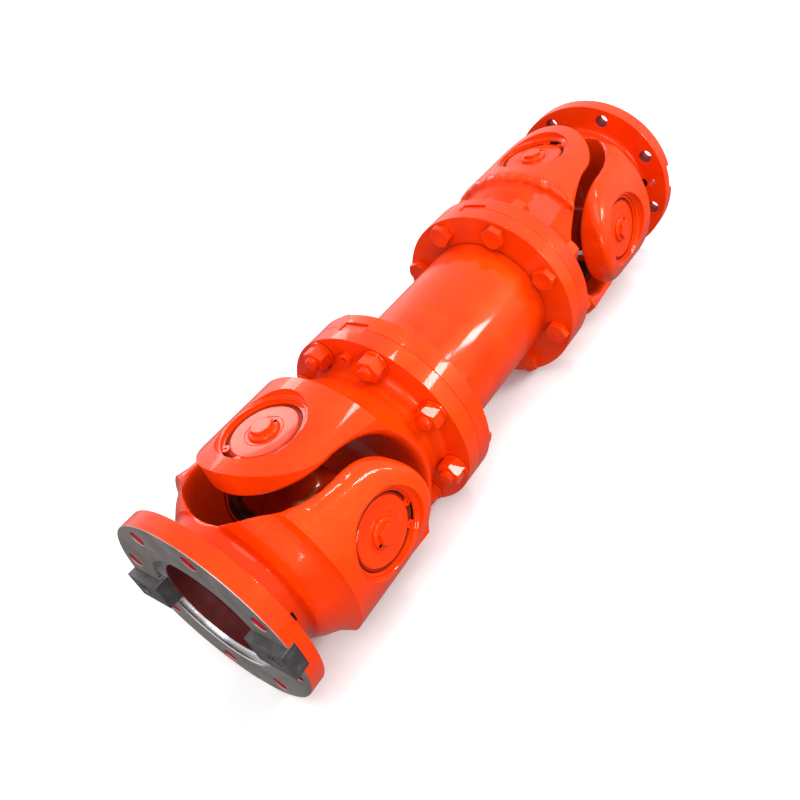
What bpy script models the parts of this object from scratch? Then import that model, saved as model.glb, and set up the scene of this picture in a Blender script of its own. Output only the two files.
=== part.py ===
"""Flanged telescopic universal joint shaft, as an assembly of separate solids.

Metres, +X along the shaft from the front flange to the rear one, +Z up.
The origin is on the shaft's axis, halfway along the closed shaft, its two front keys included.
Forks are built in a frame of their own: origin at the cross's centre, +X towards
the fork's flange and +Z through the bores of its two ears.
"""
import math

import bmesh
import bpy
from mathutils import Matrix, Vector

MM = 0.001

# Driving dimensions
FLANGE_R = 142.5 * MM          # flange radius, and the turning radius of the ears
END_FLANGE_T = 25 * MM
MID_FLANGE_T = 26 * MM
END_REACH = 174 * MM           # end face to the centre of its cross
INNER_REACH = 182 * MM         # centre of the cross to the parting plane of the middle flanges
PARTING_SPAN = 294 * MM        # between the two parting planes, shaft closed
FIT_GAP = 0.3 * MM             # clearance between pieces that touch

# Bolt circle and keys
BOLT_COUNT = 8
BOLT_CIRCLE_R = 122.5 * MM
BOLT_HOLE_R = 10.5 * MM
KEY_WIDTH = 40 * MM
END_KEY_SUNK = 9.5 * MM
END_KEY_PROUD = 11 * MM
MID_KEY_SUNK = 9 * MM
MID_KEY_OUTER_R = 139 * MM
KEY_INNER_R = 88 * MM
REGISTER_R = 87.5 * MM
REGISTER_DEPTH = 7 * MM
POCKET_R = 74 * MM
POCKET_DEPTH = 34 * MM
KEY_SCREW_R = 6 * MM
KEY_SCREW_POS_R = 119 * MM

# Forks
END_NECK_R = 100 * MM
INNER_NECK_R = 103 * MM
EAR_TIP = 81 * MM              # ear tip beyond the cross's centre
EAR_HALF_WIDTH = 91 * MM
EAR_FLANK = [(35 * MM, 95 * MM), (75 * MM, 101 * MM), (101 * MM, 111 * MM), (121 * MM, 122 * MM)]
EAR_INNER = 98 * MM            # inner face of each ear, and radius of the slot's round end
END_CROTCH = 118.5 * MM        # round end of the slot between the ears, in an end fork
INNER_CROTCH = 110 * MM        # and in an inner fork
FLARE_END = 121 * MM           # where the ears' flanks run out into the neck
PAST = 160 * MM                # beyond every outside of the shaft, for cutters
BORE_R = 53 * MM
SPOTFACE_R = 61 * MM
SPOTFACE_Z = 131.5 * MM
RING_LOW = 124 * MM            # circlip's lower and upper faces
RING_HIGH = 128 * MM
RING_GROOVE_R = 55.9 * MM
CIRCLIP_TURN = 162             # degrees from the fork's flange to the circlip's opening

# Cross and bearing cups
JOURNAL_R = 30 * MM
JOURNAL_TIP = 111.5 * MM
ROOT_R = 38 * MM
ROOT_LENGTH = 82 * MM
HUB_HALF = 44 * MM
CUP_DISC_R = 44 * MM
CUP_DISC_Z = 129.5 * MM
CUP_MOUTH_Z = 97 * MM
CUP_FLOOR_Z = 112 * MM
PLUG_HOLE_R = 10.3 * MM

# Telescopic middle
SLEEVE_R = 100 * MM
SLEEVE_GAP = 2.5 * MM          # between the sleeve's mouth and the shaft's flange, closed
SPLINE_TEETH = 16
SPLINE_MAJOR_R = 62 * MM
SPLINE_MINOR_R = 56 * MM
SPLINE_TOOTH_W = 11.4 * MM
SPLINE_CLEARANCE = 0.4 * MM
SPLINE_LENGTH = 234 * MM
SLEEVE_END_WALL = 30 * MM
SEAL_R = 75 * MM
SEAL_DEPTH = 15 * MM

# Round counts
DISC_SIDES = 40
HOLE_SIDES = 8
BORE_SIDES = 20
JOURNAL_SIDES = 12

# Places along X; the keys stand proud of the front face only
FACE_TO_FACE = 2 * (END_REACH + INNER_REACH) + PARTING_SPAN
FRONT_FACE_X = (END_KEY_PROUD - FACE_TO_FACE) / 2
FRONT_CROSS_X = FRONT_FACE_X + END_REACH
FRONT_PARTING_X = FRONT_CROSS_X + INNER_REACH
REAR_PARTING_X = FRONT_PARTING_X + PARTING_SPAN
REAR_CROSS_X = REAR_PARTING_X + INNER_REACH

BOLT_ANGLES = [(k + 0.5) * 2 * math.pi / BOLT_COUNT for k in range(BOLT_COUNT)]
# Turns that bring a fork's own frame into the shaft's
TURN_X = Matrix.Rotation(math.pi, 4, "Z")
QUARTER_X = Matrix.Rotation(math.pi / 2, 4, "X")


def material(name, colour, metallic, roughness):
    """Principled material with the part's own colour."""
    made = bpy.data.materials.new(name)
    made.use_nodes = True
    made.diffuse_color = (*colour, 1)
    shader = made.node_tree.nodes["Principled BSDF"]
    shader.inputs["Base Color"].default_value = (*colour, 1)
    shader.inputs["Metallic"].default_value = metallic
    shader.inputs["Roughness"].default_value = roughness
    return made


def new_object(name, mesh):
    obj = bpy.data.objects.new(name, mesh)
    bpy.context.scene.collection.objects.link(obj)
    return obj


def mesh_from(name, bm):
    """Close a bmesh into a mesh, faces out, round parts smooth."""
    bmesh.ops.recalc_face_normals(bm, faces=bm.faces)
    mesh = bpy.data.meshes.new(name)
    bm.to_mesh(mesh)
    bm.free()
    mesh.shade_smooth()
    mesh.set_sharp_from_angle(angle=math.radians(30))
    return mesh


def ring_points(sides, radius):
    """Points of a regular outline with a flat towards each axis."""
    for k in range(sides):
        angle = (k + 0.5) * 2 * math.pi / sides
        yield radius * math.cos(angle), radius * math.sin(angle)


def stack(name, layers, axis="X"):
    """Closed solid through a list of outlines: each layer is (place along axis, points)."""
    bm = bmesh.new()
    loops = []
    for along, points in layers:
        loops.append([bm.verts.new((along, a, b) if axis == "X" else (a, b, along)) for a, b in points])
    for low, high in zip(loops, loops[1:]):
        for k in range(len(low)):
            after = (k + 1) % len(low)
            bm.faces.new((low[k], low[after], high[after], high[k]))
    bm.faces.new(reversed(loops[0]))
    bm.faces.new(loops[-1])
    return new_object(name, mesh_from(name, bm))


def lathe(name, profile, axis="X", sides=DISC_SIDES):
    """Solid of revolution through (place along axis, radius) points."""
    return stack(name, [(along, list(ring_points(sides, radius))) for along, radius in profile], axis)


def prism(name, outline, low, high, plane):
    """Outline of (x, side) points, extruded along the remaining axis of its plane."""
    bm = bmesh.new()
    if plane == "XY":
        ends = [[bm.verts.new((x, side, level)) for x, side in outline] for level in (low, high)]
    else:
        ends = [[bm.verts.new((x, level, side)) for x, side in outline] for level in (low, high)]
    for k in range(len(outline)):
        after = (k + 1) % len(outline)
        bm.faces.new((ends[0][k], ends[0][after], ends[1][after], ends[1][k]))
    bm.faces.new(reversed(ends[0]))
    bm.faces.new(ends[1])
    return new_object(name, mesh_from(name, bm))


def box(name, low, high):
    """Block between two corners."""
    bm = bmesh.new()
    bmesh.ops.create_cube(bm, size=1)
    size = Vector(high) - Vector(low)
    bmesh.ops.scale(bm, vec=size, verts=bm.verts)
    bmesh.ops.translate(bm, vec=(Vector(high) + Vector(low)) / 2, verts=bm.verts)
    return new_object(name, mesh_from(name, bm))


def combine(target, tool, operation):
    """Boolean the tool into the target's mesh, and remove the tool."""
    step = target.modifiers.new(operation.lower(), "BOOLEAN")
    step.operation = operation
    step.solver = "EXACT"
    step.object = tool
    graph = bpy.context.evaluated_depsgraph_get()
    mesh = bpy.data.meshes.new_from_object(target.evaluated_get(graph))
    mesh.name = target.name
    target.modifiers.clear()
    target.data = mesh
    bpy.data.objects.remove(tool)
    mesh.set_sharp_from_angle(angle=math.radians(30))
    return target


def place(obj, matrix, parent, finish):
    """Put an object at its world place under its body's empty, in its own material."""
    obj.parent = parent
    obj.matrix_parent_inverse = parent.matrix_world.inverted()
    obj.matrix_world = matrix
    if not obj.data.materials:
        obj.data.materials.append(finish)
    obj.material_slots[0].material = finish
    return obj


def body_empty(name, x):
    """Empty on a joint's axis, which carries the pieces of one moving body."""
    empty = bpy.data.objects.new(name, None)
    bpy.context.scene.collection.objects.link(empty)
    empty.location = (x, 0, 0)
    empty.empty_display_size = 0.05
    bpy.context.view_layer.update()
    return empty


def arc(centre, radius, start, stop, steps):
    """Points on an arc, in degrees, both ends included."""
    points = []
    for k in range(steps + 1):
        angle = math.radians(start + (stop - start) * k / steps)
        points.append((centre[0] + radius * math.cos(angle), centre[1] + radius * math.sin(angle)))
    return points


def bolt_holes(target, low, high):
    """Drill the bolt circle through a flange between two places along X."""
    for angle in BOLT_ANGLES:
        drill = lathe("drill", [(low, BOLT_HOLE_R), (high, BOLT_HOLE_R)], sides=HOLE_SIDES)
        drill.data.transform(Matrix.Translation((
            0, BOLT_CIRCLE_R * math.cos(angle), BOLT_CIRCLE_R * math.sin(angle))))
        combine(target, drill, "DIFFERENCE")


def key_slots(target, face_x, inward, depth, inner_r):
    """Mill the two key slots into a flange face, opposite each other."""
    floor_x = face_x + inward * (depth + FIT_GAP / 2)
    open_x = face_x - inward * 2 * MM
    low_x, high_x = min(floor_x, open_x), max(floor_x, open_x)
    half = KEY_WIDTH / 2 + FIT_GAP
    for side in (-1, 1):
        near, far = sorted((side * inner_r, side * PAST))
        combine(target, box("slot", (low_x, -half, near), (high_x, half, far)), "DIFFERENCE")


def fork(name, profile, reach, crotch):
    """Turned blank cut to two ears, with its round-ended slot and its stepped bearing bores."""
    fork_body = lathe(name, profile)
    outline = arc((EAR_HALF_WIDTH - EAR_TIP, 0), EAR_HALF_WIDTH, 90, 270, 14)
    outline += [(x, -half) for x, half in EAR_FLANK]
    outline += [(FLARE_END, -PAST), (reach + PAST, -PAST), (reach + PAST, PAST), (FLARE_END, PAST)]
    outline += [(x, half) for x, half in reversed(EAR_FLANK)]
    combine(fork_body, prism("outline", outline, -PAST, PAST, "XY"), "INTERSECT")

    slot = [(-PAST, EAR_INNER), (-PAST, -EAR_INNER), *arc((crotch - EAR_INNER, 0), EAR_INNER, -90, 90, 14)]
    combine(fork_body, prism("slot", slot, -PAST, PAST, "XZ"), "DIFFERENCE")

    half_bore = [(0, BORE_R), (RING_LOW - FIT_GAP / 2, BORE_R), (RING_LOW - FIT_GAP / 2, RING_GROOVE_R),
                 (RING_HIGH + FIT_GAP, RING_GROOVE_R), (RING_HIGH + FIT_GAP, BORE_R),
                 (SPOTFACE_Z, BORE_R), (SPOTFACE_Z, SPOTFACE_R), (PAST, SPOTFACE_R)]
    for side_sign in (1, -1):
        bore = lathe("bore", half_bore, axis="Z", sides=BORE_SIDES)
        if side_sign < 0:
            bore.data.transform(Matrix.Rotation(math.pi, 4, "X"))
        combine(fork_body, bore, "DIFFERENCE")
    return fork_body


def end_yoke(name):
    """Fork with the flange that a machine's companion flange bolts to."""
    back = END_REACH - END_FLANGE_T
    profile = [(-EAR_TIP - 5 * MM, FLANGE_R), (80 * MM, FLANGE_R), (85 * MM, 131.5 * MM),
               (104 * MM, 119 * MM), (116 * MM, 108 * MM), (124 * MM, END_NECK_R), (back, END_NECK_R),
               (back, FLANGE_R), (END_REACH, FLANGE_R)]
    yoke = fork(name, profile, END_REACH, END_CROTCH)
    recess = lathe("recess", [
        (END_REACH - POCKET_DEPTH, POCKET_R - 6 * MM), (END_REACH - 20 * MM, POCKET_R),
        (END_REACH - REGISTER_DEPTH, POCKET_R), (END_REACH - REGISTER_DEPTH, REGISTER_R),
        (END_REACH + 10 * MM, REGISTER_R)])
    combine(yoke, recess, "DIFFERENCE")
    bolt_holes(yoke, back - 2 * MM, END_REACH + 2 * MM)
    key_slots(yoke, END_REACH, -1, END_KEY_SUNK, REGISTER_R - 12 * MM)
    for side in (-1, 1):
        tapped = lathe("tapped", [(back + 2 * MM, KEY_SCREW_R + FIT_GAP), (END_REACH, KEY_SCREW_R + FIT_GAP)],
                       sides=HOLE_SIDES)
        tapped.data.transform(Matrix.Translation((0, 0, side * KEY_SCREW_POS_R)))
        combine(yoke, tapped, "DIFFERENCE")
    return yoke


def inner_yoke(name):
    """Fork with the flange that bolts to the telescopic middle."""
    face = INNER_REACH - FIT_GAP / 2
    back = face - MID_FLANGE_T
    profile = [(-EAR_TIP - 5 * MM, FLANGE_R), (79 * MM, FLANGE_R), (84 * MM, 133 * MM),
               (104 * MM, 118 * MM), (122 * MM, 106 * MM), (128 * MM, INNER_NECK_R), (back, INNER_NECK_R),
               (back, FLANGE_R), (face, FLANGE_R)]
    yoke = fork(name, profile, INNER_REACH, INNER_CROTCH)
    register = lathe("register", [(face - REGISTER_DEPTH, REGISTER_R), (face + 10 * MM, REGISTER_R)])
    combine(yoke, register, "DIFFERENCE")
    bolt_holes(yoke, back - 2 * MM, face + 2 * MM)
    key_slots(yoke, face, -1, MID_KEY_SUNK, KEY_INNER_R)
    return yoke


def spline_section(major_r, minor_r, tooth_w):
    """Outline of a straight-sided spline."""
    points = []
    for tooth in range(SPLINE_TEETH):
        centre = tooth * 2 * math.pi / SPLINE_TEETH
        foot = math.asin(tooth_w / 2 / minor_r)
        tip = math.asin(tooth_w / 2 / major_r)
        for radius, angle in ((minor_r, -foot), (major_r, -tip), (major_r, tip), (minor_r, foot)):
            points.append((radius * math.cos(centre + angle), radius * math.sin(centre + angle)))
    return points


def middle_flange(target, face_x, inward):
    """Bolt circle and key slots of a middle flange whose parting face is at face_x."""
    back_x = face_x + inward * MID_FLANGE_T
    bolt_holes(target, min(face_x, back_x) - 2 * MM, max(face_x, back_x) + 2 * MM)
    key_slots(target, face_x, inward, MID_KEY_SUNK, KEY_INNER_R)


def sleeve(name):
    """Tube with a flange at its front end and a splined bore open to the rear."""
    face = FRONT_PARTING_X + FIT_GAP / 2
    flange_back = face + MID_FLANGE_T
    mouth = REAR_PARTING_X - FIT_GAP / 2 - MID_FLANGE_T - SLEEVE_GAP
    spigot_r = REGISTER_R - FIT_GAP
    made = lathe(name, [(face - REGISTER_DEPTH + MM, spigot_r), (face, spigot_r), (face, FLANGE_R),
                        (flange_back, FLANGE_R), (flange_back, SLEEVE_R + 3 * MM),
                        (flange_back + 4 * MM, SLEEVE_R), (mouth, SLEEVE_R)])
    teeth = spline_section(SPLINE_MAJOR_R + SPLINE_CLEARANCE, SPLINE_MINOR_R + SPLINE_CLEARANCE,
                           SPLINE_TOOTH_W + 2 * SPLINE_CLEARANCE)
    combine(made, stack("teeth", [(face + SLEEVE_END_WALL, teeth), (mouth + 10 * MM, teeth)]), "DIFFERENCE")
    seal_seat = lathe("seal_seat", [(mouth - SEAL_DEPTH, SEAL_R), (mouth + 10 * MM, SEAL_R)])
    combine(made, seal_seat, "DIFFERENCE")
    middle_flange(made, face, 1)
    return made


def shaft(name):
    """Flange at the rear with the splined shaft that slides in the sleeve."""
    face = REAR_PARTING_X - FIT_GAP / 2
    flange_back = face - MID_FLANGE_T
    spigot_r = REGISTER_R - FIT_GAP
    made = lathe(name, [(flange_back, FLANGE_R), (face, FLANGE_R), (face, spigot_r),
                        (face + REGISTER_DEPTH - MM, spigot_r)])
    collar = lathe("collar", [(flange_back - 14 * MM, SPLINE_MAJOR_R + 4 * MM),
                              (flange_back + 4 * MM, SPLINE_MAJOR_R + 4 * MM)])
    combine(made, collar, "UNION")
    teeth = spline_section(SPLINE_MAJOR_R, SPLINE_MINOR_R, SPLINE_TOOTH_W)
    rod = stack("rod", [(flange_back - SPLINE_LENGTH, teeth), (flange_back - 12 * MM, teeth)])
    combine(made, rod, "UNION")
    middle_flange(made, face, -1)
    return made


def cross(name):
    """Four-legged spider: two stepped legs through each other."""
    profile = [(-JOURNAL_TIP, JOURNAL_R), (-ROOT_LENGTH, JOURNAL_R), (-ROOT_LENGTH + 6 * MM, ROOT_R),
               (ROOT_LENGTH - 6 * MM, ROOT_R), (ROOT_LENGTH, JOURNAL_R), (JOURNAL_TIP, JOURNAL_R)]
    upright = lathe(name, profile, axis="Z", sides=JOURNAL_SIDES)
    across = lathe("across", profile, axis="Z", sides=JOURNAL_SIDES)
    across.data.transform(QUARTER_X)
    combine(upright, across, "UNION")
    corner = Vector((HUB_HALF, HUB_HALF, HUB_HALF))
    combine(upright, box("hub", -corner, corner), "UNION")
    return upright


def bearing_cup_mesh():
    """Closed-end cup along +Z, with a raised disc on its outer end and a tapped hole."""
    outer_r = BORE_R - FIT_GAP
    shoulder_z = RING_LOW - FIT_GAP
    cup = lathe("cup", [(CUP_MOUTH_Z, outer_r), (shoulder_z, outer_r), (shoulder_z, CUP_DISC_R),
                        (CUP_DISC_Z, CUP_DISC_R)], axis="Z", sides=BORE_SIDES)
    # The journal turns in the well, so the well's flats clear the journal's corners
    well_r = (JOURNAL_R + FIT_GAP) / math.cos(math.pi / JOURNAL_SIDES)
    well = lathe("well", [(CUP_MOUTH_Z - 5 * MM, well_r), (CUP_FLOOR_Z, well_r)],
                 axis="Z", sides=JOURNAL_SIDES)
    combine(cup, well, "DIFFERENCE")
    hole = lathe("hole", [(CUP_FLOOR_Z - 2 * MM, PLUG_HOLE_R), (CUP_DISC_Z + 5 * MM, PLUG_HOLE_R)],
                 axis="Z", sides=JOURNAL_SIDES)
    combine(cup, hole, "DIFFERENCE")
    mesh = cup.data
    bpy.data.objects.remove(cup)
    return mesh


def circlip_mesh():
    """Split ring along +Z with a lug at each end, open towards the ear's tip."""
    inner_r, lug_r = 46 * MM, 44.6 * MM
    outer_r = RING_GROOVE_R * math.cos(math.pi / BORE_SIDES) - FIT_GAP
    open_half, lug_half = 15, 23
    outline = arc((0, 0), outer_r, open_half, 360 - open_half, 22)
    outline += arc((0, 0), lug_r, 360 - open_half, 360 - lug_half, 1)
    outline += arc((0, 0), inner_r, 360 - lug_half, lug_half, 18)
    outline += arc((0, 0), lug_r, lug_half, open_half, 1)
    clip = prism("clip", outline, RING_LOW, RING_HIGH, "XY")
    mesh = clip.data
    mesh.transform(Matrix.Rotation(math.radians(CIRCLIP_TURN), 4, "Z"))
    bpy.data.objects.remove(clip)
    return mesh


def plug_mesh():
    """Grease plug along +Z: threaded shank, round collar and hex."""
    face = CUP_DISC_Z + FIT_GAP
    plug = lathe("plug", [(CUP_FLOOR_Z + 3 * MM, PLUG_HOLE_R - FIT_GAP), (face, PLUG_HOLE_R - FIT_GAP),
                          (face, 20 * MM), (face + 4 * MM, 18.5 * MM)], axis="Z", sides=JOURNAL_SIDES)
    combine(plug, hex_bar("hex", face + 3 * MM, face + 9 * MM, 25 * MM, "Z"), "UNION")
    mesh = plug.data
    bpy.data.objects.remove(plug)
    return mesh


def hex_bar(name, low, high, across_flats, axis="X"):
    """Six-sided bar, given by its width across flats."""
    corner_r = across_flats / math.sqrt(3)
    points = [(corner_r * math.cos(k * math.pi / 3), corner_r * math.sin(k * math.pi / 3)) for k in range(6)]
    return stack(name, [(low, points), (high, points)], axis)


def bolt_mesh():
    """Hex bolt with its washer and nut, the head towards +X and the grip centred on 0."""
    grip = MID_FLANGE_T + FIT_GAP
    washer, nut, head = 3 * MM, 18 * MM, 12.5 * MM
    shank_r = 10 * MM
    bolt = lathe("bolt", [(-grip - FIT_GAP - washer - nut - 6 * MM, shank_r),
                          (grip + FIT_GAP + 5 * MM, shank_r)], sides=HOLE_SIDES)
    combine(bolt, hex_bar("head", grip + FIT_GAP, grip + FIT_GAP + head, 30 * MM), "UNION")
    flat = lathe("washer", [(-grip - FIT_GAP - washer, 18.5 * MM), (-grip - FIT_GAP, 18.5 * MM)],
                 sides=JOURNAL_SIDES)
    combine(bolt, flat, "UNION")
    nut_top = -grip - FIT_GAP - washer
    combine(bolt, hex_bar("nut", nut_top - nut, nut_top + MM, 30 * MM), "UNION")
    mesh = bolt.data
    bpy.data.objects.remove(bolt)
    return mesh


def key_blank(name, inner_r, outer_r, low_x, high_x):
    """Rectangular key along +Z with its edges broken."""
    half = KEY_WIDTH / 2
    key = box(name, (low_x, -half, inner_r), (high_x, half, outer_r))
    edge = key.modifiers.new("edge", "BEVEL")
    edge.width = MM
    edge.segments = 1
    return key


def end_key_mesh():
    """Face key of an end flange: x = 0 is the flange face, the proud side is -X."""
    key = key_blank("key", KEY_INNER_R - 6 * MM, FLANGE_R - MM, -END_KEY_PROUD, END_KEY_SUNK)
    through = lathe("through", [(-END_KEY_PROUD - MM, 9.5 * MM), (-END_KEY_PROUD + 9 * MM, 9.5 * MM),
                                (-END_KEY_PROUD + 9 * MM, KEY_SCREW_R + FIT_GAP),
                                (END_KEY_SUNK + MM, KEY_SCREW_R + FIT_GAP)], sides=HOLE_SIDES)
    through.data.transform(Matrix.Translation((0, 0, KEY_SCREW_POS_R)))
    combine(key, through, "DIFFERENCE")
    mesh = key.data
    bpy.data.objects.remove(key)
    return mesh


def key_screw_mesh():
    """Socket-head screw along X, head towards -X, placed at the key's counterbore."""
    head_top = -END_KEY_PROUD + MM
    head_low = -END_KEY_PROUD + 9 * MM - FIT_GAP
    screw = lathe("screw", [(head_top, 9 * MM), (head_low, 9 * MM), (head_low, KEY_SCREW_R),
                            (END_KEY_SUNK + 10 * MM, KEY_SCREW_R)], sides=HOLE_SIDES)
    combine(screw, hex_bar("socket", head_top - MM, head_top + 5 * MM, 10 * MM), "DIFFERENCE")
    mesh = screw.data
    mesh.transform(Matrix.Translation((0, 0, KEY_SCREW_POS_R)))
    bpy.data.objects.remove(screw)
    return mesh


def mid_key_mesh():
    """Face key of a middle flange pair, centred on the parting plane."""
    key = key_blank("key", KEY_INNER_R + MM, MID_KEY_OUTER_R, -MID_KEY_SUNK, MID_KEY_SUNK)
    graph = bpy.context.evaluated_depsgraph_get()
    mesh = bpy.data.meshes.new_from_object(key.evaluated_get(graph))
    bpy.data.objects.remove(key)
    return mesh


def bearing_sets(prefix, fork_matrix, body, meshes, finishes):
    """Cup, circlip and grease plug in each of a fork's two ears."""
    for side, turn in (("a", 0), ("b", math.pi)):
        matrix = fork_matrix @ Matrix.Rotation(turn, 4, "X")
        for piece in ("bearing_cup", "circlip", "grease_plug"):
            obj = new_object(f"{prefix}_{piece}_{side}", meshes[piece])
            place(obj, matrix, body, finishes[piece])


def main():
    for old in list(bpy.data.objects):
        bpy.data.objects.remove(old)

    paint = material("orange_paint", (0.85, 0.10, 0.02), 0.0, 0.3)
    steel = material("machined_steel", (0.35, 0.36, 0.37), 1.0, 0.4)
    dark = material("dark_steel", (0.16, 0.17, 0.18), 1.0, 0.45)
    bearing = material("bearing_steel", (0.45, 0.45, 0.46), 1.0, 0.3)
    finishes = {"bearing_cup": paint, "circlip": paint, "grease_plug": paint}
    meshes = {"bearing_cup": bearing_cup_mesh(), "circlip": circlip_mesh(), "grease_plug": plug_mesh()}

    front_flange = body_empty("front_flange", FRONT_CROSS_X)
    front_spider = body_empty("front_spider", FRONT_CROSS_X)
    sleeve_half = body_empty("sleeve_half", FRONT_CROSS_X)
    shaft_half = body_empty("shaft_half", REAR_CROSS_X)
    rear_spider = body_empty("rear_spider", REAR_CROSS_X)
    rear_flange = body_empty("rear_flange", REAR_CROSS_X)

    front_at = Matrix.Translation((FRONT_CROSS_X, 0, 0))
    rear_at = Matrix.Translation((REAR_CROSS_X, 0, 0))
    forks = (
        ("front_flange_yoke", end_yoke, front_at @ TURN_X @ QUARTER_X, front_flange, "front_outer"),
        ("front_inner_yoke", inner_yoke, front_at, sleeve_half, "front_inner"),
        ("rear_inner_yoke", inner_yoke, rear_at @ TURN_X, shaft_half, "rear_inner"),
        ("rear_flange_yoke", end_yoke, rear_at @ QUARTER_X, rear_flange, "rear_outer"),
    )
    for name, build, matrix, body, prefix in forks:
        place(build(name), matrix, body, paint)
        bearing_sets(prefix, matrix, body, meshes, finishes)

    place(cross("front_cross"), front_at, front_spider, bearing)
    place(cross("rear_cross"), rear_at, rear_spider, bearing)
    place(sleeve("spline_sleeve"), Matrix.Identity(4), sleeve_half, paint)
    place(shaft("spline_shaft"), Matrix.Identity(4), shaft_half, paint)

    end_key, key_screw, mid_key, bolt = end_key_mesh(), key_screw_mesh(), mid_key_mesh(), bolt_mesh()
    for side, tilt in (("a", math.pi / 2), ("b", -math.pi / 2)):
        matrix = Matrix.Translation((FRONT_FACE_X, 0, 0)) @ Matrix.Rotation(tilt, 4, "X")
        place(new_object(f"front_face_key_{side}", end_key), matrix, front_flange, dark)
        place(new_object(f"front_key_screw_{side}", key_screw), matrix, front_flange, dark)

    for pair, parting_x, turn, body in (("front", FRONT_PARTING_X, 0, sleeve_half),
                                        ("rear", REAR_PARTING_X, math.pi, shaft_half)):
        at_parting = Matrix.Translation((parting_x, 0, 0)) @ Matrix.Rotation(turn, 4, "Z")
        for side, tilt in (("top", 0), ("bottom", math.pi)):
            matrix = at_parting @ Matrix.Rotation(tilt, 4, "X")
            place(new_object(f"{pair}_coupling_key_{side}", mid_key), matrix, body, steel)
        for count, angle in enumerate(BOLT_ANGLES, start=1):
            offset = Matrix.Translation((0, BOLT_CIRCLE_R * math.cos(angle), BOLT_CIRCLE_R * math.sin(angle)))
            place(new_object(f"{pair}_flange_bolt_{count}", bolt), at_parting @ offset, body, paint)
    bpy.context.view_layer.update()


main()
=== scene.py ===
"""Looks of the flanged telescopic universal joint shaft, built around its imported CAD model.

Metres. The shaft lies along X, its front flange towards -X, and +Z is up.
Castings are modelled in a fork's own frame: origin at the cross's centre, +X towards
the fork's flange and +Z through the bores of its two ears.
"""
import math

import bmesh
import bpy
import numpy as np
from mathutils import Matrix, Vector


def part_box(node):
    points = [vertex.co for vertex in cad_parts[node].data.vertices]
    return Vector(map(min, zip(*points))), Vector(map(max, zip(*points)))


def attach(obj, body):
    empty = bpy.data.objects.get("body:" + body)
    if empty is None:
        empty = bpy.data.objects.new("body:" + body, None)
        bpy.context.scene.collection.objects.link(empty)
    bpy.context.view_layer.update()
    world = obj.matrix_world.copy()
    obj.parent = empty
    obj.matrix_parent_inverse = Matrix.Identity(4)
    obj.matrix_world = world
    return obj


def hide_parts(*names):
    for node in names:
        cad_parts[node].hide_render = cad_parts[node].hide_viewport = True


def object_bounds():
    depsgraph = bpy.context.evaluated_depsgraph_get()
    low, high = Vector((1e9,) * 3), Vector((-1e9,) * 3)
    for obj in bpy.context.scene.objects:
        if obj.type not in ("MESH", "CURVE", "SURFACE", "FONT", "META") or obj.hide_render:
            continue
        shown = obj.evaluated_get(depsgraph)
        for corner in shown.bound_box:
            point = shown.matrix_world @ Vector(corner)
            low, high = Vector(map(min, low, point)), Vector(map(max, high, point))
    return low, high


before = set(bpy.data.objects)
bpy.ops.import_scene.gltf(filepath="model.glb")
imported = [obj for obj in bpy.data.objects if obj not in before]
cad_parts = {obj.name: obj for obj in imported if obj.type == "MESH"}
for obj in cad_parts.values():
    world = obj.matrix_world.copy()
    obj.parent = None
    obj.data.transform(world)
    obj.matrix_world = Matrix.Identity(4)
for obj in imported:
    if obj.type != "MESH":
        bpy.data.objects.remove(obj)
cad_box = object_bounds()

MM = 0.001
CELL = 2.4 * MM       # grid of the cast surfaces
SIDES = 160              # round count of flanges and tube

# ---------------------------------------------------------------- sizes, from the frame


def node_box(name):
    low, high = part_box(name)
    return np.array(low), np.array(high)


FRONT_FACE_X = node_box("front_flange_yoke")[0][0]
FRONT_CROSS_X = sum(b[0] for b in node_box("front_cross")) / 2
REAR_CROSS_X = sum(b[0] for b in node_box("rear_cross")) / 2
END_REACH = FRONT_CROSS_X - FRONT_FACE_X
FRONT_PARTING_X = node_box("front_inner_yoke")[1][0]
REAR_PARTING_X = node_box("rear_inner_yoke")[0][0]
INNER_REACH = FRONT_PARTING_X - FRONT_CROSS_X
SLEEVE_LOW_X, SLEEVE_MOUTH_X = (b[0] for b in node_box("spline_sleeve"))
SHAFT_TIP_X = node_box("spline_shaft")[0][0]
GAP = 0.3 * MM                            # clearance between neighbouring pieces
PAST_RIM = 160 * MM                       # cutters run out to here, past every rim
FAR = 200 * MM                            # corners of outlines that are open to one side

# Sizes that the real flange and joint size share with the CAD model
FLANGE_R = 142.4 * MM
END_FLANGE_T = 25 * MM
MID_FLANGE_T = 26 * MM
BOLT_COUNT = 8
BOLT_CIRCLE_R = 122.5 * MM
BOLT_HOLE_R = 10.5 * MM
KEY_WIDTH = 40 * MM
END_KEY_SUNK = 9.5 * MM
END_KEY_PROUD = 11 * MM
MID_KEY_SUNK = 9 * MM
MID_KEY_OUTER_R = 139 * MM
KEY_INNER_R = 88 * MM
KEY_SCREW_POS_R = 119 * MM
TURNING_ALLOWANCE = 2 * MM
SCALLOP_POS_R = 103 * MM
SCALLOP_R = 8 * MM
SCALLOP_REACH = 14 * MM
REGISTER_R = 87.5 * MM
REGISTER_DEPTH = 7 * MM
POCKET_R = 74 * MM
POCKET_DEPTH = 34 * MM
EAR_HALF_WIDTH = 91 * MM
EAR_TIP = 81 * MM
EAR_INNER = 98 * MM
END_CROTCH = 118.5 * MM
INNER_CROTCH = 110 * MM
BORE_R = 53 * MM
SPOTFACE_R = 57.5 * MM
SPOTFACE_Z = 131.5 * MM
RING_LOW = 124 * MM
RING_HIGH = 128 * MM
RING_GROOVE_R = 55.6 * MM
CIRCLIP_TURN = math.radians(162)
CUP_DISC_R = 43.5 * MM
CUP_DISC_Z = 127.8 * MM
CUP_GROOVE_R = 24.5 * MM
CUP_MOUTH_Z = 97 * MM
CUP_FLOOR_Z = 112 * MM
JOURNAL_R = 30 * MM
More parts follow.
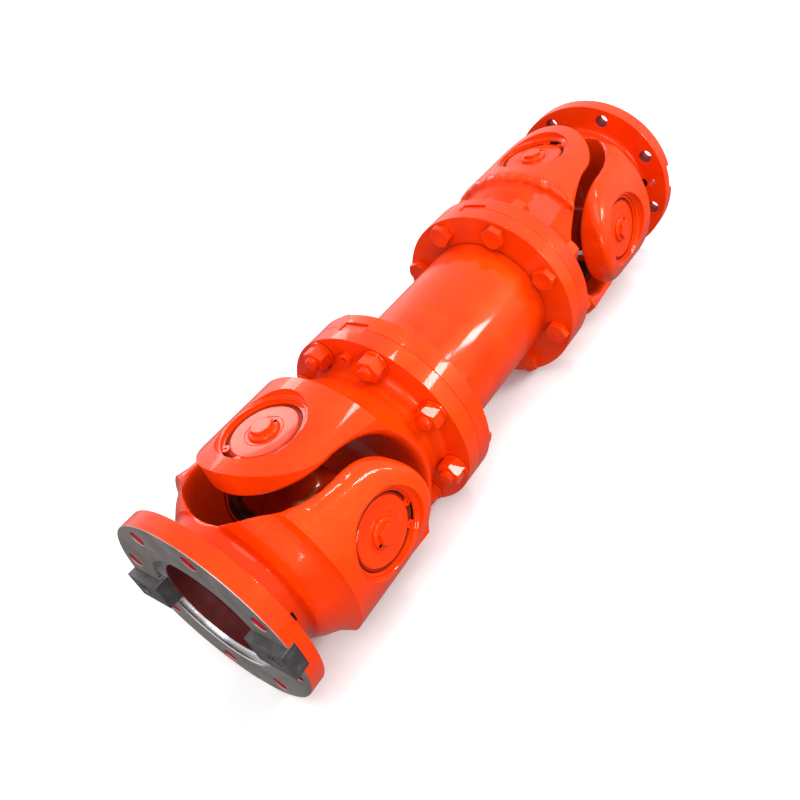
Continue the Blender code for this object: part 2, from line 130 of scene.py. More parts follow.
JOURNAL_TIP = 111.5 * MM
PLUG_VENT_AT = 16.4 * MM
PLUG_VENT_R = 2.3 * MM
SLEEVE_R = 99.7 * MM
SPLINE_TEETH = 16
SPLINE_MAJOR_R = 62 * MM
SPLINE_MINOR_R = 56 * MM
SPLINE_TOOTH_W = 11.4 * MM
SEAL_R = 75 * MM
SEAL_DEPTH = 15 * MM
MID_EDGE = 0.9 * MM
SPIGOT_R = REGISTER_R - GAP
SLOT_HALF = KEY_WIDTH / 2 + GAP / 2

BOLT_ANGLES = [(k + 0.5) * 2 * math.pi / BOLT_COUNT for k in range(BOLT_COUNT)]
TURN_X = Matrix.Rotation(math.pi, 4, "Z")
QUARTER_X = Matrix.Rotation(math.pi / 2, 4, "X")
FRONT_AT = Matrix.Translation((FRONT_CROSS_X, 0, 0))
REAR_AT = Matrix.Translation((REAR_CROSS_X, 0, 0))

# ---------------------------------------------------------------- cast surfaces


def soft_max(a, b, k):
    """Intersection of two solids' distance fields, its edge rounded by about k."""
    h = np.maximum(k - np.abs(a - b), 0) / k
    return np.maximum(a, b) + h * h * k / 4


def soft_min(a, b, k):
    """Union of two solids' distance fields, its inner corner filled by about k."""
    return -soft_max(-a, -b, k)


def turned_field(x, rho, profile):
    """Signed distance to a solid of revolution through (x, r) points, in its half plane."""
    best = np.full(x.shape, 1e9, np.float32)
    points = [(profile[0][0], 0.0), *profile, (profile[-1][0], 0.0)]
    for (x0, r0), (x1, r1) in zip(points, points[1:]):
        dx, dr = x1 - x0, r1 - r0
        span = dx * dx + dr * dr
        if span < 1e-14:
            continue
        t = np.clip(((x - x0) * dx + (rho - r0) * dr) / span, 0, 1)
        best = np.minimum(best, (x - x0 - t * dx) ** 2 + (rho - r0 - t * dr) ** 2)
    xs = np.array([p[0] for p in profile])
    rs = np.array([p[1] for p in profile])
    inside = (rho < np.interp(x, xs, rs)) & (x > xs[0]) & (x < xs[-1])
    return np.where(inside, -1, 1) * np.sqrt(best)


def outline_field(x, y, outline):
    """Signed distance to a closed outline of (x, y) points."""
    best = np.full(x.shape, 1e9, np.float32)
    odd = np.zeros(x.shape, bool)
    for (x0, y0), (x1, y1) in zip(outline, outline[1:] + outline[:1]):
        dx, dy = x1 - x0, y1 - y0
        t = np.clip(((x - x0) * dx + (y - y0) * dy) / (dx * dx + dy * dy), 0, 1)
        best = np.minimum(best, (x - x0 - t * dx) ** 2 + (y - y0 - t * dy) ** 2)
        if dy:
            crosses = (y0 > y) != (y1 > y)
            odd ^= crosses & (x < x0 + (y - y0) * dx / dy)
    return np.where(odd, -1, 1) * np.sqrt(best)


def rounded_box_field(a, b, half_a, half_b, radius):
    """Signed distance to a rounded rectangle centred on 0."""
    qa = np.abs(a) - half_a + radius
    qb = np.abs(b) - half_b + radius
    outside = np.sqrt(np.maximum(qa, 0) ** 2 + np.maximum(qb, 0) ** 2)
    return outside + np.minimum(np.maximum(qa, qb), 0) - radius


def surface_net(name, low, high, field):
    """Closed quad mesh on the zero level of a field over a box: one vertex for each crossed cell."""
    axes = [np.arange(l, h + CELL, CELL, dtype=np.float32) for l, h in zip(low, high)]
    value = field(*np.meshgrid(*axes, indexing="ij", sparse=False)).astype(np.float32)
    sign = value < 0
    shape = tuple(n - 1 for n in value.shape)
    total = np.zeros((*shape, 3), np.float32)
    count = np.zeros(shape, np.float32)
    corner = {(i, j, k): tuple(slice(o, o + n) for o, n in zip((i, j, k), shape))
              for i in (0, 1) for j in (0, 1) for k in (0, 1)}
    for start, at in corner.items():
        for axis in range(3):
            if start[axis]:
                continue
            end = tuple(1 if a == axis else s for a, s in enumerate(start))
            v0, v1 = value[at], value[corner[end]]
            crossed = sign[at] != sign[corner[end]]
            share = np.where(crossed, v0 / np.where(crossed, v0 - v1, 1), 0)
            for a in range(3):
                offset = share if a == axis else float(start[a])
                total[..., a] += np.where(crossed, offset, 0)
            count += crossed
    used = count > 0
    index = np.full(shape, -1, np.int64)
    index[used] = np.arange(used.sum())
    cells = np.argwhere(used)
    origin = np.array([a[0] for a in axes])
    verts = (cells + total[used] / count[used][:, None]) * CELL + origin
    faces = []
    for axis in range(3):
        b, c = [a for a in range(3) if a != axis]
        if axis == 1:
            b, c = c, b
        edge = [slice(1, -1)] * 3
        edge[axis] = slice(0, -1)
        ahead = list(edge)
        ahead[axis] = slice(1, None)
        before, after = sign[tuple(edge)], sign[tuple(ahead)]
        found = np.argwhere(before != after)
        outward = before[tuple(found.T)]
        found = found + np.array([0 if a == axis else 1 for a in range(3)])
        step_b, step_c = np.eye(3, dtype=int)[b], np.eye(3, dtype=int)[c]
        quad = [found - step_b - step_c, found - step_c, found, found - step_b]
        ids = np.stack([index[tuple(q.T)] for q in quad], axis=1)
        ids[~outward] = ids[~outward][:, ::-1]
        faces.append(ids)
    faces = np.concatenate(faces)
    mesh = bpy.data.meshes.new(name)
    mesh.vertices.add(len(verts))
    mesh.vertices.foreach_set("co", verts.astype(np.float32).ravel())
    mesh.loops.add(faces.size)
    mesh.loops.foreach_set("vertex_index", faces.astype(np.int32).ravel())
    mesh.polygons.add(len(faces))
    mesh.polygons.foreach_set("loop_start", np.arange(0, faces.size, 4, dtype=np.int32))
    mesh.update(calc_edges=True)
    return new_object(name, mesh)

# ---------------------------------------------------------------- mesh tools


def new_object(name, data):
    made = bpy.data.objects.new(name, data)
    bpy.context.scene.collection.objects.link(made)
    return made


def from_bmesh(name, bm):
    """New object from a finished bmesh, its faces turned outwards."""
    bmesh.ops.recalc_face_normals(bm, faces=bm.faces)
    mesh = bpy.data.meshes.new(name)
    bm.to_mesh(mesh)
    bm.free()
    return new_object(name, mesh)


def lathe(name, profile, axis="X", sides=SIDES, ring=False):
    """Solid of revolution through (place along axis, radius) points; a radius of 0 closes to a point.

    With ring, the profile is a closed section that stays off the axis.
    """
    bm = bmesh.new()
    rings = []
    for along, radius in profile:
        if radius <= 0:
            rings.append([bm.verts.new((along, 0, 0) if axis == "X" else (0, 0, along))])
            continue
        loop = []
        for k in range(sides):
            angle = k * 2 * math.pi / sides
            a, b = radius * math.cos(angle), radius * math.sin(angle)
            loop.append(bm.verts.new((along, a, b) if axis == "X" else (a, b, along)))
        rings.append(loop)
    following = rings[1:] + rings[:1] if ring else rings[1:]
    for low, high in zip(rings, following):
        for k in range(sides):
            after = (k + 1) % sides
            if len(low) == 1:
                bm.faces.new((low[0], high[after], high[k]))
            elif len(high) == 1:
                bm.faces.new((low[k], low[after], high[0]))
            else:
                bm.faces.new((low[k], low[after], high[after], high[k]))
    for end in (rings[0], rings[-1]):
        if len(end) > 1 and not ring:
            bm.faces.new(end)
    return from_bmesh(name, bm)


def turned(name, points, **options):
    """Solid of revolution through (place along axis, radius) points, closed to its axis at both ends."""
    return lathe(name, [(points[0][0], 0), *points, (points[-1][0], 0)], **options)


def cylinder(name, low, high, radius, sides):
    """Plain cylinder along Z."""
    return turned(name, [(low, radius), (high, radius)], axis="Z", sides=sides)


def steps(along, radius, *offsets):
    """Profile points near a corner at (along, radius), each set off from it by (along, out) in mm."""
    return [(along + a * MM, radius + r * MM) for a, r in offsets]


def broken(along, radius, edge, inward, shares=(0.35, 0.3)):
    """Rim corner at (along, radius), broken by edge; inward is the way along the axis into the metal."""
    middle = (along + inward * edge * shares[0], radius - edge * shares[1])
    return [(along, radius - edge), middle, (along + inward * edge, radius)]


def extruded(name, outline, low, high, axis="Z"):
    """Outline of points extruded along an axis: (x, y) points along Z, (y, z) points along X."""
    bm = bmesh.new()
    ends = [[bm.verts.new((a, b, level) if axis == "Z" else (level, a, b)) for a, b in outline]
            for level in (low, high)]
    for k in range(len(outline)):
        after = (k + 1) % len(outline)
        bm.faces.new((ends[0][k], ends[0][after], ends[1][after], ends[1][k]))
    bm.faces.new(ends[0])
    bm.faces.new(ends[1])
    return from_bmesh(name, bm)


def block(name, low, high):
    return extruded(name, [(low[0], low[1]), (high[0], low[1]), (high[0], high[1]), (low[0], high[1])],
                    low[2], high[2])


def hexagon(across_flats):
    return arc((0, 0), across_flats / math.sqrt(3), 0, 300, 5)


def arc(centre, radius, start, stop, steps):
    """Points on an arc, in degrees, both ends included."""
    angles = [math.radians(start + (stop - start) * k / steps) for k in range(steps + 1)]
    return [(centre[0] + radius * math.cos(a), centre[1] + radius * math.sin(a)) for a in angles]


def baked(obj):
    """The object with its modifiers applied to a new mesh."""
    graph = bpy.context.evaluated_depsgraph_get()
    mesh = bpy.data.meshes.new_from_object(obj.evaluated_get(graph))
    obj.modifiers.clear()
    obj.data = mesh
    return obj


def combine(target, tool, operation, solver="MANIFOLD"):
    """Boolean the tool into the target's mesh, and remove the tool."""
    step = target.modifiers.new(operation.lower(), "BOOLEAN")
    step.operation = operation
    step.solver = solver
    step.object = tool
    baked(target)
    bpy.data.objects.remove(tool)
    return target


def cut(target, *tools):
    for tool in tools:
        combine(target, tool, "DIFFERENCE")
    return target


def moved(obj, matrix):
    obj.data.transform(matrix)
    return obj


def smooth(obj, angle=28):
    """Smooth shading with crisp machined edges, flat faces kept flat."""
    obj.data.shade_smooth()
    obj.data.set_sharp_from_angle(angle=math.radians(angle))
    weigh = obj.modifiers.new("flat_faces", "WEIGHTED_NORMAL")
    weigh.keep_sharp = True
    weigh.mode = "FACE_AREA"
    return obj


def bevelled(obj, width, segments=2, angle=30):
    edge = obj.modifiers.new("edge", "BEVEL")
    edge.width = width
    edge.segments = segments
    edge.limit_method = "ANGLE"
    edge.angle_limit = math.radians(angle)
    return baked(obj)


def finish_piece(obj, body, nodes, matrix=None, angle=28):
    """Shade a piece, put it in place on its body, and let it stand for its CAD nodes."""
    smooth(obj, angle)
    if matrix is not None:
        obj.matrix_world = matrix
    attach(obj, body)
    if nodes:
        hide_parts(*nodes)
    return obj


# ---------------------------------------------------------------- forks

EAR_FLANK = [(35, 95), (75, 101), (101, 111), (121, 122)]
# Turned outlines of the castings, in mm: along the fork and radius
END_CASTING = [(-86, 142.4), (88, 142.4), (100, 126), (112, 115), (117.5, 107.5), (119.5, 102.5),
               (124, 100.3), (141, 99.6), (144.5, 100.4), (147.5, 103.5), (149.5, 110), (153, 110)]
INNER_CASTING = [(-86, 142.4), (84, 142.4), (92, 131), (112, 116), (124, 107.5), (129, 104), (146, 103.2),
                 (152, 104.5), (155.5, 108), (157, 113), (160, 113)]
LUMPY_CASTING = [(-86, 142.4), (77, 142.4), (80, 139), (84, 133), (104, 118), (122, 106.5), (128, 103.5),
                 (146, 103.2), (152, 104.5), (155.5, 108), (157, 113), (160, 113)]
# Machined flare behind the ears, cut with crisp edges
END_FLARE = [(80, 170), (80, 141.6), (81.2, 138.6), (85.5, 131.6), (92, 126.5), (104, 119), (112, 112.3),
             (117, 107.6), (130, 170)]
INNER_FLARE = [(78.5, 170), (78.5, 141.2), (83.5, 132.5), (104, 117.5), (122, 105.8), (128, 103.9),
               (133, 170)]


def scaled(points):
    return [(x * MM, y * MM) for x, y in points]


def ear_outline(flank, tip_steps, root_x, far_x):
    """The ears seen along their bores: round tip, flanks that widen to the neck, and far corners."""
    tip = arc((EAR_HALF_WIDTH - EAR_TIP, 0), EAR_HALF_WIDTH, 90, 270, tip_steps)
    corners = [(root_x, -FAR), (far_x, -FAR), (far_x, FAR), (root_x, FAR)]
    return [*tip, *[(x, -y) for x, y in flank], *corners, *flank[::-1]]


def casting(name, profile, crotch, outer_round, inner_round, lumps=0.0, machined_to=None):
    """The forged or cast body of a fork, its edges rounded, before it is machined."""
    flank = scaled(EAR_FLANK)
    outline = ear_outline(flank, 30, flank[-1][0], FAR)
    turning = scaled(profile)
    allowance = TURNING_ALLOWANCE if machined_to else 0

    def field(x, y, z):
        flat_x, flat_y = x[:, :, :1], y[:, :, :1]
        side = outline_field(flat_x, flat_y, outline) - allowance
        rho = np.sqrt(y * y + z * z)
        around = turned_field(x, rho, turning)
        if machined_to:
            around = around - allowance * np.clip((machined_to - x) / (6 * MM), 0, 1)
        if lumps:
            turn = np.arctan2(y, z)
            bead = np.sin(turn * 31) + 0.8 * np.sin(turn * 53 + 1.3) + 0.7 * np.sin(turn * 17 + 0.4)
            bead_x = (82 + 0.9 * bead) * MM
            bead_r = (135.5 + 0.8 * np.sin(turn * 43 + 2)) * MM
            ridge = np.sqrt((x - bead_x) ** 2 + (rho - bead_r) ** 2) - 4.5 * MM
            around = soft_min(around, ridge, lumps)
        fade = np.clip((flat_x - 58 * MM) / (20 * MM), 0, 1)
        shape = soft_max(around, side, outer_round + (3 * MM - outer_round) * fade)
        half = (crotch + FAR) / 2
        slot = rounded_box_field(x[:, :1, :] - crotch + half, z[:, :1, :], half, EAR_INNER, EAR_INNER)
        return soft_max(shape, -slot, inner_round)

    low = (-90 * MM, -146 * MM, -146 * MM)
    high = ((profile[-1][0] + 4) * MM, 146 * MM, 146 * MM)
    return surface_net(name, low, high, field)


def rounded_disc(name, low, high, radius, edge):
    """Flange disc along X with its rim's corners broken."""
    return turned(name, broken(low, radius, edge, 1) + broken(high, radius, edge, -1)[::-1])


def off_axis(radius, angle):
    """Shift from the X axis to a place on a circle round it."""
    return Matrix.Translation((0, radius * math.cos(angle), radius * math.sin(angle)))


def drill(centre_r, angle, low, high, radius, chamfer=0.8 * MM, sides=40):
    """Hole cutter along X through a flange, which also breaks both edges of the hole."""
    past = 4 * MM
    wide = radius + chamfer + past
    points = [(low - past, wide), (low + chamfer, radius), (high - chamfer, radius), (high + past, wide)]
    return moved(turned("drill", points, sides=sides), off_axis(centre_r, angle))


def bolt_holes(low, high, chamfer=0.8 * MM):
    return [drill(BOLT_CIRCLE_R, angle, low, high, BOLT_HOLE_R, chamfer) for angle in BOLT_ANGLES]


def key_slot_cutter(face, depth, side, inner_r):
    """Slot across a flange face at +X for a face key, open at the rim and with broken edges."""
    near, far = sorted((side * inner_r, side * PAST_RIM))
    edge, past = 0.7 * MM, 5 * MM
    half, wide = SLOT_HALF, SLOT_HALF + edge + past
    outline = [(face - depth, -half), (face - depth, half), (face - edge, half), (face + past, wide),
               (face + past, -wide), (face - edge, -half)]
    return extruded("slot", outline, near, far)


def ear_bore_cutter(side):
    """Stepped bore of one ear: bearing bore, circlip groove and spotface, edges broken."""
    tool = turned("bore", [
        (0, BORE_R + 4 * MM), *steps(EAR_INNER, BORE_R, (0, 2.5), (2.5, 0)), (RING_LOW, BORE_R),
        (RING_LOW, RING_GROOVE_R), (RING_HIGH, RING_GROOVE_R), (RING_HIGH, BORE_R),
        *steps(SPOTFACE_Z, BORE_R, (-0.8, 0), (0, 0.8)), *steps(SPOTFACE_Z, SPOTFACE_R, (0, -1.5), (1.5, 0)),
        (PAST_RIM, SPOTFACE_R + 2 * MM)], axis="Z")
    return tool if side > 0 else moved(tool, Matrix.Rotation(math.pi, 4, "X"))


def end_fork(name):
    """Flange yoke, machined: flange, holes, register, pocket, key slots and ear bores."""
    face = END_REACH
    back = face - END_FLANGE_T
    floor, ledge = face - POCKET_DEPTH, face - REGISTER_DEPTH
    made = casting(name, END_CASTING, END_CROTCH, outer_round=15 * MM, inner_round=7 * MM)
    cut(made, lathe("flare", scaled(END_FLARE), ring=True))
    combine(made, rounded_disc("flange", back, face, FLANGE_R, 1.2 * MM), "UNION")
    cut(made, turned("pocket", [
        *steps(floor, POCKET_R, (0, -14), (3, -7), (9, -3)), (face - 18 * MM, POCKET_R - MM),
        *steps(ledge, POCKET_R, (-1, 0), (0, 1), (0, 4.5), (-1.2, 5.5), (-1.2, 8), (0, 9)),
        (ledge, REGISTER_R), *steps(face, REGISTER_R, (-1, 0), (4, 5))]))
    cut(made, *bolt_holes(back, face))
    for side in (-1, 1):
        cut(made, key_slot_cutter(face, END_KEY_SUNK, side, POCKET_R + 2 * MM))
        cut(made, drill(KEY_SCREW_POS_R, side * math.pi / 2, back, face, 5.5 * MM, sides=24))
        scallop = turned("scallop", [
            *steps(back - SCALLOP_REACH, SCALLOP_R, (0, -6), (1.5, -2.4), (6, 0)),
            (back + 4 * MM, SCALLOP_R)], sides=32)
        cut(made, moved(scallop, Matrix.Translation((0, 0, side * SCALLOP_POS_R))))
        cut(made, ear_bore_cutter(side))
    return made


def trim_ears(made, machined_to):
    """Ears turned to size outside and milled round their edges, which leaves crisp corners."""
    past = 170 * MM
    start, stop, edge = -90 * MM, machined_to + 3 * MM, 1.2 * MM
    cut(made, lathe("turning", [(start, past), (start, FLANGE_R), (machined_to, FLANGE_R),
                                (stop, FLANGE_R + 4 * MM), (stop, past)], ring=True))
    flank = scaled([p for p in EAR_FLANK if p[0] < 80] + [(84, 104)])
    cut(made, extruded("milling", ear_outline(flank, 64, flank[-1][0] + edge, -FAR), -past, past))


def inner_fork(name, lumps=0.0):
    """Inner yoke, machined: flange, register, holes, key slots and ear bores."""
    face = INNER_REACH
    back = face - MID_FLANGE_T
    machined_to = (73 if lumps else 80) * MM
    profile = LUMPY_CASTING if lumps else INNER_CASTING
    made = casting(name, profile, INNER_CROTCH, outer_round=3 * MM, inner_round=20 * MM, lumps=lumps,
                   machined_to=machined_to)
    if not lumps:
        cut(made, lathe("flare", scaled(INNER_FLARE), ring=True))
    trim_ears(made, machined_to)
    combine(made, rounded_disc("flange", back, face, FLANGE_R, MID_EDGE), "UNION")
    register = [(face - REGISTER_DEPTH, REGISTER_R), *steps(face, REGISTER_R, (-1, 0), (4, 5))]
    cut(made, turned("register", register), *bolt_holes(back, face, 0.4 * MM))
    for side in (-1, 1):
        cut(made, key_slot_cutter(face, MID_KEY_SUNK, side, KEY_INNER_R))
        cut(made, ear_bore_cutter(side))
    return made


# ---------------------------------------------------------------- telescopic middle


def weld_bead(name, x, radius, size, seed):
    """Lumpy ring of weld round a tube, closed, with its ripples worked out by waves."""
    around, across = SIDES * 2, 10
    bm = bmesh.new()
    rings = []
    for k in range(around):
        turn = k * 2 * math.pi / around
        swell = 1 + 0.16 * math.sin(turn * 41 + seed) + 0.12 * math.sin(turn * 67 + 2 * seed)
        drift = 0.9 * MM * (math.sin(turn * 5 + seed) + 0.6 * math.sin(turn * 13 + 3 * seed))
        ring = []
        for j in range(across):
            tilt = j * 2 * math.pi / across
            r = radius + size * 0.75 * swell * math.sin(tilt)
            along = x + drift + size * swell * math.cos(tilt)
            ring.append(bm.verts.new((along, r * math.cos(turn), r * math.sin(turn))))
        rings.append(ring)
    for low, high in zip(rings, rings[1:] + rings[:1]):
        for j in range(across):
            after = (j + 1) % across
            bm.faces.new((low[j], low[after], high[after], high[j]))
    return from_bmesh(name, bm)


def spline_outline(clear=0.0):
    """Outline of the straight-sided spline, or of its bore with some clearance all round."""
    major_r, minor_r = SPLINE_MAJOR_R + clear, SPLINE_MINOR_R + clear
    half = SPLINE_TOOTH_W / 2 + clear
    foot, tip = math.asin(half / minor_r), math.asin(half / major_r)
    pitch = 2 * math.pi / SPLINE_TEETH
    corners = [(minor_r, -foot), (major_r, -tip), (major_r, 0), (major_r, tip), (minor_r, foot),
               (minor_r, pitch / 2)]
    return [(radius * math.cos(tooth * pitch + angle), radius * math.sin(tooth * pitch + angle))
            for tooth in range(SPLINE_TEETH) for radius, angle in corners]


def flange_slots(made, face, inward):
    """Bolt holes and key slots of a middle flange whose parting face is at x = face."""
    cut(made, *bolt_holes(*sorted((face, face + inward * MID_FLANGE_T)), 0.4 * MM))
    low, high = sorted((face - inward * 5 * MM, face + inward * MID_KEY_SUNK))
    for side in (-1, 1):
        near, far = sorted((side * KEY_INNER_R, side * PAST_RIM))
        cut(made, block("slot", (low, -SLOT_HALF, near), (high, SLOT_HALF, far)))


def sleeve(name):
    """Tube welded to its flange, with the splined bore and the seal seat in its mouth."""
    face, mouth = FRONT_PARTING_X + GAP, SLEEVE_MOUTH_X
    back = face + MID_FLANGE_T
    made = turned(name, [
        *steps(SLEEVE_LOW_X, SPIGOT_R, (0, -1), (1, 0)), (face, SPIGOT_R),
        *broken(face, FLANGE_R, MID_EDGE, 1), *steps(back, FLANGE_R, (-1.6, 0), (-0.5, -0.5), (0, -1.6)),
        *steps(back, SLEEVE_R, (0, 4), (1.2, 1.2), (4, 0)),
        *steps(mouth, SLEEVE_R, (-2.2, 0), (-0.7, -0.6), (0, -2.2))])
    weld = weld_bead("weld", back + 3.4 * MM, SLEEVE_R - 0.4 * MM, 3.6 * MM, 1.7)
    combine(made, weld, "UNION", "EXACT")
    cut(made, extruded("teeth", spline_outline(0.4 * MM), face + 30 * MM, mouth + 10 * MM, "X"))
    cut(made, turned("seal_seat", [(mouth - SEAL_DEPTH, SEAL_R), *steps(mouth, SEAL_R, (-1, 0), (3, 4))]))
    flange_slots(made, face, 1)
    return made


def shaft(name):
    """Splined shaft with its flange and spigot."""
    face = REAR_PARTING_X - GAP
    back = face - MID_FLANGE_T
    tip = face + REGISTER_DEPTH - MM
    made = turned(name, [
        *steps(back, SPLINE_MAJOR_R, (-13.5, 2.3), (-12, 3.8), (-3, 3.8), (-0.8, 4.7), (0, 6.8)),
        *steps(back, FLANGE_R, (0, -1.6), (0.5, -0.5), (1.6, 0)),
        *broken(face, FLANGE_R, MID_EDGE, -1)[::-1], (face, SPIGOT_R),
        *steps(tip, SPIGOT_R, (-1, 0), (0, -1))])
    rod = extruded("rod", spline_outline(), SHAFT_TIP_X, back - 12 * MM, "X")
    nose_r = SPLINE_MAJOR_R + MM
    nose = [(SHAFT_TIP_X, SPLINE_MINOR_R - 2 * MM), (SHAFT_TIP_X + 9 * MM, nose_r), (back + 5 * MM, nose_r)]
    combine(rod, turned("nose", nose), "INTERSECT")
    combine(made, rod, "UNION")
    flange_slots(made, face, -1)
    return made


# ---------------------------------------------------------------- joint pieces


def cross(name):
    """Forged spider: four legs blended into a hub, with ground journals."""
    hub, leg, foot_r = 40 * MM, 86 * MM, 37 * MM

    def field(x, y, z):
        def arm(a, b, along):
            width = foot_r - 2.5 * MM * np.clip((np.abs(along) - 50 * MM) / (30 * MM), 0, 1)
            return np.maximum(np.sqrt(a * a + b * b) - width, np.abs(along) - leg)
        arms = soft_min(arm(x, y, z), arm(x, z, y), 22 * MM)
        q = [np.maximum(np.abs(a) - hub + 14 * MM, 0) for a in (x, y, z)]
        centre = np.sqrt(q[0] ** 2 + q[1] ** 2 + q[2] ** 2) - 14 * MM
        return soft_max(soft_min(arms, centre, 14 * MM), np.abs(x) - 42 * MM, 8 * MM)

    reach = leg + 4 * MM
    made = surface_net(name, (-48 * MM, -reach, -reach), (48 * MM, reach, reach), field)
    half = [*steps(-JOURNAL_TIP, JOURNAL_R, (0, -2), (2, 0)), *steps(-leg, JOURNAL_R, (0, 0), (10, 0))]
    journals = half + [(-along, radius) for along, radius in half[::-1]]
    for turn in (Matrix.Identity(4), QUARTER_X):
        combine(made, moved(turned("journal", journals, axis="Z", sides=72), turn), "UNION")
    return made


def trunnion_seal():
    """Lipped seal between a bearing cup's mouth and the cross, along +Z."""
    low, high = 87 * MM, CUP_MOUTH_Z - 0.4 * MM
    inner = JOURNAL_R + GAP
    return lathe("seal", [
        *steps(high, inner, (-3, 0)), *steps(low, inner, (2, 0), (0, 3)),
        *steps(low, 0, (0, 41), (1.5, 43.5)),
        *steps(high, 0, (-4, 44.5), (-3.6, 48), (-1, 49), (0, 48)), *steps(high, inner, (0, 4))],
        axis="Z", sides=72, ring=True)


def bearing_cup(name):
    """Closed-end cup along +Z, with its raised disc, turned groove and plug seat."""
    outer_r = BORE_R - GAP
    shoulder, top = RING_LOW - GAP, CUP_DISC_Z
    filled = RING_HIGH - 1.8 * MM      # paint standing in the gap inside the circlip
    made = turned(name, [
        *steps(CUP_MOUTH_Z, outer_r, (0, -1), (1, 0)), *steps(shoulder, outer_r, (-1, 0), (0, -1)),
        (shoulder, CUP_DISC_R + 4 * MM), *steps(filled, CUP_DISC_R, (0, 3.6), (0, 0.8), (0.8, 0)),
        *steps(top, CUP_DISC_R, (-1.4, 0), (-0.4, -0.4), (0, -1.4)),
        *steps(top, CUP_GROOVE_R, (0, 0.9), (-0.8, 0.3), (-0.8, -0.3), (0, -0.9))], axis="Z", sides=96)
    cut(made, cylinder("well", CUP_MOUTH_Z - 5 * MM, CUP_FLOOR_Z, JOURNAL_R + 1.5 * MM, 72))
    return cut(made, cylinder("plug_hole", CUP_FLOOR_Z - 5 * MM, top + 5 * MM, 10.3 * MM, 48))


def circlip(name):
    """Internal circlip along +Z: a tapering split ring with an eye at each end."""
    low, high = RING_LOW + 0.1 * MM, RING_HIGH - 0.1 * MM
    outer_r = RING_GROOVE_R - 0.5 * MM
    end_half, count = 20.5, 110        # degrees from the gap's middle to a ring end; inner points
    outline = arc((0, 0), outer_r, end_half - 2, 360 - end_half + 2, 120)
    for k in range(count + 1):
        angle = math.radians(360 - end_half - (360 - 2 * end_half) * k / count)
        inner_r = outer_r - (5.2 + 1.4 * math.sin(angle / 2)) * MM
        outline.append((inner_r * math.cos(angle), inner_r * math.sin(angle)))
    made = extruded(name, outline, low, high)
    for side in (-1, 1):
        at = math.radians(side * 18.6)
        eye_at = outer_r - 6.4 * MM
        place_at = Matrix.Translation((eye_at * math.cos(at), eye_at * math.sin(at), 0))
        combine(made, moved(cylinder("eye", low, high, 5.6 * MM, 40), place_at), "UNION")
        cut(made, moved(cylinder("hole", RING_LOW - MM, RING_HIGH + MM, 1.9 * MM, 24), place_at))
    bevelled(made, 0.5 * MM, 2, 40)
    return moved(made, Matrix.Rotation(CIRCLIP_TURN, 4, "Z"))


def hex_solid(name, low, high, across_flats, axis="X", both=False, edge=0.55 * MM):
    """Hexagonal nut or head with its corners turned off, at the high end or at both."""
    flat_r, corner_r = across_flats / 2, across_flats / math.sqrt(3)
    drop = (corner_r - flat_r * 0.985) * 0.62
    face_r, rim_r = flat_r * 0.96, corner_r + 0.1 * MM
    start = [(low, face_r), (low + drop, rim_r)] if both else steps(low, corner_r, (-1, 1), (0, 1))
    profile = [*start, (high - drop, rim_r), (high, face_r)]
    made = extruded(name, hexagon(across_flats), low, high, axis)
    combine(made, turned("crown", profile, axis=axis, sides=72), "INTERSECT")
    return bevelled(made, edge, 3, 24)


def grease_plug(name):
    """Threaded plug along +Z with a collar, a small vent and a low hexagon."""
    face = CUP_DISC_Z + GAP
    made = lathe(name, [
        *steps(CUP_FLOOR_Z, 0, (3, 0), (3, 9), (4, 9.9)),
        *steps(face, 0, (0, 9.9), (0, 19.6), (0.6, 20), (2.2, 19.6), (3.4, 18.6), (4, 17), (4.2, 0))],
        axis="Z", sides=72)
    combine(made, hex_solid("hex", face + 2 * MM, face + 9 * MM, 26 * MM, "Z", edge=1.7 * MM), "UNION")
    vent = cylinder("vent", face + 0.8 * MM, face + 6 * MM, PLUG_VENT_R, 24)
    return cut(made, moved(vent, Matrix.Translation((PLUG_VENT_AT, 0, 0))))


def flange_bolt(name):
    """Bolt with head towards +X, washer, nut and proud thread end; x = 0 is the parting plane."""
    grip = MID_FLANGE_T + 2 * GAP
    washer, nut, head = 3 * MM, 18 * MM, 12.5 * MM
    shank_r, washer_r, edge = 9.9 * MM, 18.5 * MM, 0.7 * MM
    nut_top = -grip - washer
    end = nut_top - nut - 6 * MM
    pitch = 1.25                       # of the thread, in mm
    profile = steps(end, shank_r, (0, -2), (0.5, -1.4))
    for k in range(3):
        profile += steps(end, shank_r, (1.4 + k * pitch, -0.2), (1.4 + (k + 0.5) * pitch, -0.75))
    profile += [*steps(end, shank_r, (6, -0.1)), *steps(grip, shank_r, (2, -0.1))]
    made = turned(name, profile, sides=48)
    combine(made, hex_solid("head", grip, grip + head, 30.6 * MM, edge=1.5 * MM), "UNION")
    flat = turned("washer", [*broken(nut_top, washer_r, edge, 1, (0.4, 0.2)), (-grip - edge, washer_r),
                             (-grip, washer_r - edge)], sides=64)
    combine(made, flat, "UNION")
    nut_body = moved(hex_solid("nut", -nut - MM, 0, 30.4 * MM, both=True, edge=MM), TURN_X)
    return combine(made, moved(nut_body, Matrix.Translation((nut_top - nut, 0, 0))), "UNION")


def face_key(name):
    """Face key of an end flange along +Z; x = 0 is the flange face and -X its proud side."""
    half = KEY_WIDTH / 2
    made = block(name, (-END_KEY_PROUD, -half, KEY_INNER_R - 6 * MM),
                 (END_KEY_SUNK - 0.1 * MM, half, FLANGE_R - 0.8 * MM))
    bevelled(made, 0.9 * MM, 3)
    seat = turned("seat", [*steps(-END_KEY_PROUD, 0, (-3, 13), (0.8, 9.6), (9, 9.6), (9, 6.3)),
                           (END_KEY_SUNK + MM, 6.3 * MM)], sides=48)
    return cut(made, moved(seat, Matrix.Translation((0, 0, KEY_SCREW_POS_R))))


